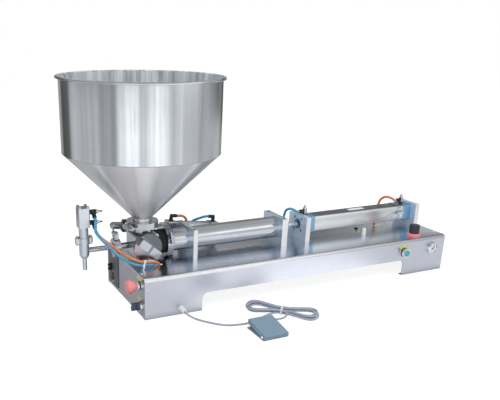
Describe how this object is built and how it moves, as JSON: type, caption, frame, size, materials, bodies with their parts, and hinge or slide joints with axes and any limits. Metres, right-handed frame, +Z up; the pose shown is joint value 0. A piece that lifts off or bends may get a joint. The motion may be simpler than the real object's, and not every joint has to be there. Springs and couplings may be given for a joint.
{
  "type": "piston filling machine",
  "caption": "Bench-top pneumatic piston filler for paste: cone hopper over a rotary valve, metering tube, air cylinder, shut-off nozzle, control base and foot pedal.",
  "frame": {"origin": "on the floor under the middle of the machine and its pedal, taken together", "axes": "+X along the base from the nozzle end to the air-cylinder end, +Y from the control front to the back, +Z up"},
  "size_m": [1.246, 0.6254, 0.636],
  "materials": {
    "panel_steel": "satin sheet, polished deck",
    "bright_steel": "polished",
    "mirror_steel": "mirror polished",
    "satin_steel": "ground",
    "dark_steel": "blackened",
    "bare_aluminium": "anodised",
    "blue_aluminium": "anodised, bluish",
    "dark_plate": "satin",
    "black_plastic": "matte",
    "black_rubber": "matte",
    "blue_hose": "gloss",
    "orange_hose": "gloss",
    "white_plastic": "satin",
    "grey_cord": "matte",
    "red_plastic": "gloss",
    "green_plastic": "gloss",
    "chrome_trim": "polished",
    "clear_lens": "clear",
    "pedal_paint": "satin"
  },
  "bodies": {
    "machine": {"base_cover": "panel_steel", "end_panels": "panel_steel", "panel_screws": "bright_steel", "power_plate": "dark_plate", "side_fittings": "black_plastic", "tube_saddles": "satin_steel", "socket_screws": "dark_steel", "metering_cylinder": "bright_steel", "rear_cap": "satin_steel", "front_plate": "satin_steel", "rear_plate": "satin_steel", "air_heads": "blue_aluminium", "air_barrel": "bare_aluminium", "valve_body": "bright_steel", "valve_cover": "bright_steel", "valve_seals": "black_rubber", "actuator_cylinder": "bare_aluminium", "actuator_bracket": "satin_steel", "air_fittings": "black_plastic", "discharge_pipe": "bright_steel", "nozzle_body": "bright_steel", "nozzle_bonnet": "bright_steel", "nozzle_cylinder": "bare_aluminium", "hopper": "mirror_steel", "pipe_clamps": "bright_steel", "blue_hoses": "blue_hose", "orange_hoses": "orange_hose", "cable_ties": "white_plastic", "sensor_switch": "white_plastic", "sensor_wire": "grey_cord", "cord_glands": "white_plastic", "button_collars": "chrome_trim", "gauge_case": "chrome_trim", "gauge_lens": "clear_lens", "regulator_ring": "red_plastic", "air_valve_block": "bare_aluminium", "pedal_cord": "grey_cord", "cord_hank": "grey_cord", "pedal_base": "pedal_paint"},
    "piston": {"piston_rod": "chrome_trim", "metering_piston": "white_plastic", "air_piston": "bare_aluminium"},
    "valve": {"valve_core": "bright_steel", "valve_lever": "satin_steel"},
    "actuator": {"actuator_rod": "bright_steel"},
    "stem": {"nozzle_stem": "bright_steel"},
    "hopper_nut": {"hopper_wing_nut": "bright_steel"},
    "tube_nut": {"tube_wing_nut": "bright_steel"},
    "outlet_nut": {"outlet_wing_nut": "bright_steel"},
    "front_needle": {"front_flow_knob": "bright_steel"},
    "rear_needle": {"rear_flow_knob": "bright_steel"},
    "upper_needle": {"upper_nozzle_knob": "bright_steel"},
    "lower_needle": {"lower_nozzle_knob": "bright_steel"},
    "estop": {"estop_button": "red_plastic"},
    "selector": {"selector_knob": "black_plastic"},
    "start": {"start_button": "green_plastic"},
    "pointer": {"gauge_needle": "black_plastic"},
    "regulator": {"regulator_knob": "black_plastic"},
    "rocker": {"rocker_switch": "black_plastic"},
    "tread": {"pedal_tread": "pedal_paint"}
  },
  "joints": [
    {"name": "piston_stroke", "type": "slide", "parent": "machine", "child": "piston", "axis": [1, 0, 0], "range_m": [0, 0.28]},
    {"name": "valve_turn", "type": "hinge", "parent": "machine", "child": "valve", "pos_m": [-0.39602, 0.08577, 0.168], "axis": [0, 1, 0], "range_deg": [0, 90]},
    {"name": "actuator_stroke", "type": "slide", "parent": "machine", "child": "actuator", "axis": [0.9925, 0, -0.1219], "range_m": [0, 0.05096]},
    {"name": "stem_lift", "type": "slide", "parent": "machine", "child": "stem", "axis": [0, 0, 1], "range_m": [0, 0.018]},
    {"name": "hopper_nut_spin", "type": "hinge", "parent": "machine", "child": "hopper_nut", "pos_m": [-0.44958, 0.06628, 0.229], "axis": [0.342, -0.9397, 0], "continuous": true},
    {"name": "tube_nut_spin", "type": "hinge", "parent": "machine", "child": "tube_nut", "pos_m": [-0.32502, 0.03127, 0.18784], "axis": [0, 0.342, 0.9397], "continuous": true},
    {"name": "outlet_nut_spin", "type": "hinge", "parent": "machine", "child": "outlet_nut", "pos_m": [-0.47702, 0.08577, 0.204], "axis": [0, 1, 0], "continuous": true},
    {"name": "front_needle_spin", "type": "hinge", "parent": "machine", "child": "front_needle", "pos_m": [0.16298, 0.08577, 0.218], "axis": [0, 0, 1], "continuous": true},
    {"name": "rear_needle_spin", "type": "hinge", "parent": "machine", "child": "rear_needle", "pos_m": [0.56098, 0.08577, 0.218], "axis": [0, 0, 1], "continuous": true},
    {"name": "upper_needle_spin", "type": "hinge", "parent": "machine", "child": "upper_needle", "pos_m": [-0.55402, 0.08577, 0.277], "axis": [1, 0, 0], "continuous": true},
    {"name": "lower_needle_spin", "type": "hinge", "parent": "machine", "child": "lower_needle", "pos_m": [-0.55402, 0.08577, 0.247], "axis": [1, 0, 0], "continuous": true},
    {"name": "estop_press", "type": "slide", "parent": "machine", "child": "estop", "axis": [1, 0, 0], "range_m": [0, 0.006]},
    {"name": "selector_turn", "type": "hinge", "parent": "machine", "child": "selector", "pos_m": [-0.45102, -0.04873, 0.035], "axis": [1, 0, 0], "range_deg": [-45, 45]},
    {"name": "start_press", "type": "slide", "parent": "machine", "child": "start", "axis": [0, 1, 0], "range_m": [0, 0.004], "stiffness_N_per_m": 800},
    {"name": "pointer_turn", "type": "hinge", "parent": "machine", "child": "pointer", "pos_m": [0.57098, -0.07273, 0.08], "axis": [0, 1, 0], "range_deg": [-165, 95]},
    {"name": "regulator_turn", "type": "hinge", "parent": "machine", "child": "regulator", "pos_m": [0.51398, -0.04173, 0.12], "axis": [0, 0, 1], "continuous": true},
    {"name": "rocker_tip", "type": "hinge", "parent": "machine", "child": "rocker", "pos_m": [-0.45102, 0.19327, 0.036], "axis": [0, -1, 0], "range_deg": [0, 12]},
    {"name": "tread_press", "type": "hinge", "parent": "machine", "child": "tread", "pos_m": [-0.21402, -0.30073, 0.009], "axis": [-1, 0, 0], "range_deg": [0, 4], "stiffness_Nm_per_rad": 6, "springref_deg": -5.73}
  ],
  "couplings": [
    {"joint": "actuator_stroke", "follows": "valve_turn", "m_per_rad": 0.032411}
  ]
}
